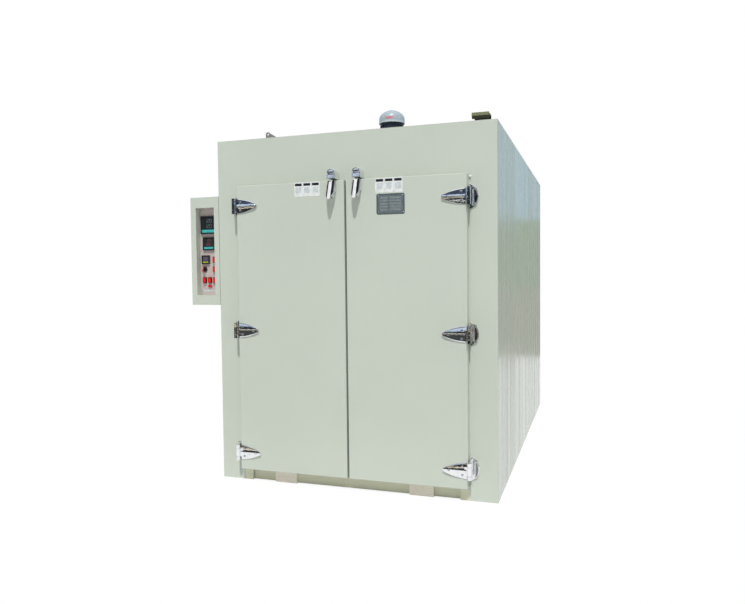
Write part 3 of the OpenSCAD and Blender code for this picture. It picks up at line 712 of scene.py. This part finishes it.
# Lit bars of each plain digit, in the order of the bars in digit_solids
DIGIT_BARS = {0: "1110111", 1: "0010010", 2: "1011101", 5: "1101011"}


def digit_solids(value, x, z, size, front):
    """Bars of one plain seven-bar digit, in the second material of its piece."""
    half = 0.28 * size
    bar = 0.11 * size
    quarter = size / 4
    level_bar, upright_bar = (2 * half - bar, bar), (bar, 2 * quarter - bar)
    # Top, upper left, upper right, middle, lower left, lower right, bottom
    bars = (
        (0, 2 * quarter, level_bar),
        (-half, quarter, upright_bar),
        (half, quarter, upright_bar),
        (0, 0, level_bar),
        (-half, -quarter, upright_bar),
        (half, -quarter, upright_bar),
        (0, -2 * quarter, level_bar),
    )
    solids = []
    for lit, (across, up, bar_size) in zip(DIGIT_BARS[value], bars):
        if lit == "1":
            at = facing("front", x + across, front, z + up)
            solids.append((plate(*bar_size, 0.0002, 0.2 * bar, 0.00005), at, 1))
    return solids


def controller_face(name, controller, window, digits, strip, digit_color):
    """Display window with plain digits, and a coloured strip of keys under it, on a controller."""
    x, z, size = controller
    frame_width, face_thickness = 0.007, 0.0008
    inner = size - 2 * frame_width
    window_tall = 0.76 * inner
    window_z = z + (inner - window_tall) / 2
    at = facing("front", x, CONTROLLER_FRONT, window_z)
    solids = [(plate(inner, window_tall, face_thickness), at, 0)]
    tall = 0.30 * window_tall
    for row, values in enumerate(digits):
        row_z = window_z + (0.20 - 0.46 * row) * window_tall
        for index, value in enumerate(values):
            digit_x = x + (index - (len(values) - 1) / 2) * 0.78 * tall
            solids += digit_solids(value, digit_x, row_z, tall, CONTROLLER_FRONT - face_thickness)
    strip_tall = 0.19 * inner
    strip_z = z - inner / 2 + strip_tall / 2
    at = facing("front", x, CONTROLLER_FRONT, strip_z)
    solids.append((plate(inner, strip_tall, face_thickness, 0.001, 0.0002), at, 2))
    key = plate(0.17 * inner, 0.6 * strip_tall, 0.0020, 0.1 * strip_tall, 0.0004)
    for index in range(4):
        at = facing("front", x + (index - 1.5) * 0.24 * inner, CONTROLLER_FRONT, strip_z)
        solids.append((key, at, 2))
    add_piece(name, "cabinet", [window, digit_color, strip], solids)


def make_panel_details():
    """Faces of the controllers, screws and blank tags of the panel, and the knob's pointer."""
    controller_face("large_face", LARGE, DISPLAY, ((1, 2, 0), (1, 2, 0)), TURQUOISE, DIGIT)
    controller_face("medium_face", MEDIUM, DISPLAY, ((1, 2, 5), (0, 5, 0)), TURQUOISE, RED_DIGIT)
    controller_face("small_face", SMALL, SMALL_DISPLAY, ((0, 5),), LIME, DIGIT)
    screws = []
    for x in (PANEL_LEFT + 0.006, PANEL_RIGHT - 0.006):
        for z in (PANEL_LOW + 0.007, PANEL_HIGH - 0.007, 1.2285, 1.0075):
            screws.append((pan_head(0.0026, 0.0016), facing("front", x, PANEL_FRONT, z)))
    add_piece("panel_screws", "cabinet", [FASTENER], screws)
    button_tag, knob_tag, long_tag = (0.019, 0.0045), (0.022, 0.0050), (0.088, 0.0090)
    tags = []
    for x, z, (width, height), corner, material_index in (
        (COLUMNS[0], 1.0445, button_tag, 0.0008, 0),
        (COLUMNS[2], 1.0445, button_tag, 0.0008, 0),
        (COLUMNS[2], 1.1035, button_tag, 0.0008, 0),
        (COLUMNS[2], 1.1555, button_tag, 0.0008, 0),
        (COLUMNS[0], 1.1008, knob_tag, 0.0008, 0),
        (LARGE[0], 1.0080, long_tag, 0.0010, 1),
    ):
        tag = plate(width, height, 0.0005, corner, 0.0001)
        tags.append((tag, facing("front", x, PANEL_FRONT, z), material_index))
    add_piece("panel_tags", "cabinet", [WHITE_LABEL, FAINT], tags)
    pointer = plate(0.0020, 0.0110, 0.0003, 0.0004, 0.0001)
    at = facing("front", COLUMNS[0], KNOB_FRONT, KNOB_HEIGHT + 0.0068)
    add_piece("selector_pointer", "selector", [WHITE_LABEL], [(pointer, at)])


def make_roof_bolts():
    """Bolts of the motor's plate, and of the feet of the roof bracket and the lifting lug."""
    motor_x, motor_y = MOTOR_CENTER
    plate_top = lug_foot_top = ROOF_TOP + 0.008
    bracket_foot_top, bracket_bolt_y = ROOF_TOP + 0.004, -1.1225
    bolts = []
    for step_x in (-1, 0, 1):
        for step_y in (-1, 0, 1):
            if step_x or step_y:
                x, y = motor_x + step_x * MOTOR_BOLT_REACH, motor_y + step_y * MOTOR_BOLT_REACH
                bolts.append((bolt_head(0.0075, 0.008), facing("top", x, y, plate_top)))
    add_piece("motor_plate_bolts", "cabinet", [FASTENER], bolts)
    bolts = []
    for x in (0.635, 0.675):
        at = facing("top", x, bracket_bolt_y, bracket_foot_top)
        bolts.append((bolt_head(0.006, 0.007), at))
    for x in (-0.490, -0.440):
        for y in (-1.143, -1.117):
            bolts.append((bolt_head(0.005, 0.006), facing("top", x, y, lug_foot_top)))
    add_piece("roof_fitting_bolts", "cabinet", [FASTENER], bolts)


def cowl_patch(low, high, start, end, thickness):
    """Curved sheet on the motor's cowl, from one azimuth to another in degrees."""
    steps = max(4, round((end - start) / 7.5))
    inner, outer = COWL_RADIUS - 0.001, COWL_RADIUS + thickness
    corners = ((inner, low), (outer, low), (outer, high), (inner, high))
    rings = []
    for step in range(steps + 1):
        angle = math.radians(start + (end - start) * step / steps)
        rings.append([(*on_circle(*MOTOR_CENTER, radius, angle), z) for radius, z in corners])
    return rings


def make_motor_details():
    """Lighter band round the rim of the fan motor's cowl, which is a painted highlight, its plain
    patch, and the lid of its terminal box.
    """
    flat = Matrix.Identity(4)
    # The band's lighter colour paints the highlight along the cowl's rim.
    band = cowl_patch(1.9945, 2.0035, 0, 359.99, 0.0010)
    patch = cowl_patch(2.0125, 2.0240, -104, -70, 0.0008)
    add_piece("cowl_highlight_band", "cabinet", [COWL_PAINTED_HIGHLIGHT, PATCH], [(band, flat), (patch, flat, 1)])
    x, y, box_top, lid_thickness = 0.0, -0.384, 1.952, 0.005
    lid = [(plate(0.096, 0.056, lid_thickness, 0.006, 0.0012), facing("top", x, y, box_top))]
    for side_x in (-1, 1):
        for side_y in (-1, 1):
            place = (x + side_x * 0.040, y + side_y * 0.020, box_top + lid_thickness)
            lid.append((pan_head(0.0036, 0.0026), facing("top", *place), 1))
    add_piece("terminal_lid", "cabinet", [CAST_PAINTED_SHADE, FASTENER], lid)


def make_roof_seams():
    """Two riveted cover strips across the roof."""
    thickness, first_rivet, rivet_pitch = 0.0012, -0.70, 0.10
    strip = plate(1.470, 0.040, thickness, 0.003, 0.0004)
    seams = []
    for y in (-0.15, 0.55):
        seams.append((strip, facing("top", 0, y, ROOF_TOP)))
        for index in range(15):
            at = facing("top", first_rivet + rivet_pitch * index, y, ROOF_TOP + thickness)
            seams.append((rivet(0.0045, 0.0018), at, 1))
    add_piece("roof_seams", "cabinet", [ROOF_PAINT, FASTENER], seams)


def make_sill_ends():
    """End plates that carry the sill's colour to the hinges."""
    for side, sign in SIDES:
        at = facing("front", sign * 0.5815, JAMB_FRONT, 0.0290)
        add_piece(side + "_sill_end", "cabinet", [SILL], [(plate(0.045, 0.056, 0.0010), at)])


def make_chamber_details():
    """Seams of the back liner, round air outlets on the ducts and rivets of the door plugs."""
    seam_thickness, seam_middle = 0.0010, 0.790
    first_rivet, rivet_pitch = 0.16, 0.14
    strip = plate(0.030, 1.380, seam_thickness, 0.003, 0.0003)
    seams = []
    for x in (-0.310, 0.0, 0.310):
        seams.append((strip, facing("front", x, LINER_FRONT, seam_middle)))
        for index in range(10):
            z = first_rivet + rivet_pitch * index
            at = facing("front", x, LINER_FRONT - seam_thickness, z)
            seams.append((rivet(0.0040, 0.0016), at, 1))
    add_piece("liner_seams", "cabinet", [LINING, FASTENER], seams)
    profile = ((0.046, 0), (0.045, 0.0016), (0.036, 0.0016), (0.034, 0.0004))
    outlet = [round_ring(radius, height) for radius, height in profile]
    first_y, pitch_y, first_z, pitch_z = -0.90, 0.30, 0.26, 0.26
    for side, inward, x in (("left", "right", -DUCT_INNER), ("right", "left", DUCT_INNER)):
        outlets = []
        for row in range(5):
            for column in range(7):
                y, z = first_y + pitch_y * column, first_z + pitch_z * row
                outlets.append((outlet, facing(inward, x, y, z)))
        add_piece(side + "_air_outlets", "cabinet", [LINING], outlets)
    for side, sign in SIDES:
        rivets = []
        for x in (0.040, 0.285, 0.530):
            for z in (0.10, 0.44, 0.788, 1.136, 1.476):
                rivets.append((rivet(0.0050, 0.0020), facing("back", sign * x, PLUG_BACK, z)))
        add_piece(side + "_plug_rivets", side + "_door", [FASTENER], rivets)


def white_for_camera(tree, surface, light_kind, share=1.0, level=1.0):
    """Mixes a share of plain white light into what the camera sees, also in gloss and glass."""

    def math_node(operation, first, second):
        made = tree.nodes.new("ShaderNodeMath")
        made.operation = operation
        tree.links.new(first, made.inputs[0])
        if isinstance(second, float):
            made.inputs[1].default_value = second
        else:
            tree.links.new(second, made.inputs[1])
        return made.outputs[0]

    rays = tree.nodes.new("ShaderNodeLightPath").outputs
    seen = math_node("MAXIMUM", rays["Is Camera Ray"], rays["Is Transmission Ray"])
    seen = math_node("MAXIMUM", seen, rays["Is Glossy Ray"])
    light = tree.nodes.new(light_kind)
    light.inputs["Color"].default_value = (1, 1, 1, 1)
    light.inputs["Strength"].default_value = level
    mix = tree.nodes.new("ShaderNodeMixShader")
    tree.links.new(math_node("MULTIPLY", seen, share), mix.inputs["Fac"])
    tree.links.new(surface, mix.inputs[1])
    tree.links.new(light.outputs[0], mix.inputs[2])
    return mix.outputs["Shader"]


def make_world():
    """Even white surroundings, softer as light than they look."""
    world = bpy.data.worlds.new("studio")
    world.use_nodes = True
    tree = world.node_tree
    background = tree.nodes["Background"]
    background.inputs["Color"].default_value = (*WORLD_COLOR, 1)
    background.inputs["Strength"].default_value = WORLD_LEVEL
    mixed = white_for_camera(tree, background.outputs[0], "ShaderNodeBackground")
    tree.links.new(mixed, tree.nodes["World Output"].inputs["Surface"])
    SCENE.world = world


def make_floor():
    """Pale floor that keeps a soft shadow."""
    material = bpy.data.materials.new("studio_floor")
    material.use_nodes = True
    tree = material.node_tree
    surface = tree.nodes["Principled BSDF"]
    surface.inputs["Base Color"].default_value = (*FLOOR_COLOR, 1)
    surface.inputs["Roughness"].default_value = 0.9
    seen = ("ShaderNodeEmission", FLOOR_SEEN_SHARE, FLOOR_SEEN_LEVEL)
    mixed = white_for_camera(tree, surface.outputs[0], *seen)
    tree.links.new(mixed, tree.nodes["Material Output"].inputs["Surface"])

    def fill(shape):
        bmesh.ops.create_grid(shape, x_segments=1, y_segments=1, size=FLOOR_SIZE)

    floor = new_object("studio_floor", fill, material)


def make_glossy_only(name, fill, color):
    """Plain light of a colour, in a shape that only reflections show."""
    material = bpy.data.materials.new(name)
    material.use_nodes = True
    tree = material.node_tree
    tree.nodes.remove(tree.nodes["Principled BSDF"])
    light = tree.nodes.new("ShaderNodeEmission")
    light.inputs["Color"].default_value = (*color, 1)
    tree.links.new(light.outputs[0], tree.nodes["Material Output"].inputs["Surface"])
    screen = new_object(name, fill, material)
    screen.visible_camera = False
    screen.visible_diffuse = False
    screen.visible_shadow = False
    screen.visible_transmission = False


def make_screen(name, low, high, color, start, end, radius):
    """Upright part of a ring round the scene, from one azimuth to another in degrees."""
    steps = max(2, round((end - start) / 6))
    angles = [math.radians(start + (end - start) * step / steps) for step in range(steps + 1)]

    def fill(shape):
        lower, upper = (
            [shape.verts.new((*on_circle(0, 0, radius, angle), z)) for angle in angles]
            for z in (low, high)
        )
        for i in range(steps):
            shape.faces.new((lower[i], lower[i + 1], upper[i + 1], upper[i]))

    make_glossy_only(name, fill, color)


def make_dark_ground():
    """Dark patch of ground in front of the oven."""

    def fill(shape):
        half, front, back = DARK_GROUND_HALF, DARK_GROUND_FRONT, DARK_GROUND_BACK
        corners = ((-half, front), (half, front), (half, back), (-half, back))
        shape.faces.new([shape.verts.new((x, y, DARK_GROUND_Z)) for x, y in corners])

    make_glossy_only("dark_ground", fill, DARK_GROUND_COLOR)


def make_sun():
    """Soft sun from the front and above."""
    data = bpy.data.lights.new("sun", "SUN")
    data.energy = SUN_STRENGTH
    data.angle = SUN_SPREAD
    data.color = SUN_COLOR
    sun = bpy.data.objects.new("sun", data)
    sun.rotation_mode = "QUATERNION"
    sun.rotation_quaternion = (-Vector(SUN_TOWARDS)).to_track_quat("-Z", "Y")
    SCENE.collection.objects.link(sun)


def make_studio():
    """World, floor and sun, and the surroundings in the gloss. Azimuth 0 is +X and 90 the back."""
    make_world()
    make_floor()
    make_sun()
    make_dark_ground()
    for band in BACK_BANDS:
        make_screen(*band, 0, 180, BACK_RADIUS)
    for band in FRONT_BANDS:
        make_screen(*band, 180, 360, RING_RADIUS)
    for number, (start, end, color) in enumerate(HIGH_STRIPS):
        name = "strip_" + str(number)
        make_screen(name, STRIP_LOW, STRIP_HIGH, color, start, end, STRIP_RADIUS)


SCENE.view_settings.view_transform = "Standard"
make_camera()
dress_frame()
make_door_covers()
make_door_fasteners()
make_labels()
make_nameplate()
make_corner_cap()
make_panel_details()
make_roof_bolts()
make_motor_details()
make_roof_seams()
make_sill_ends()
make_chamber_details()
make_studio()
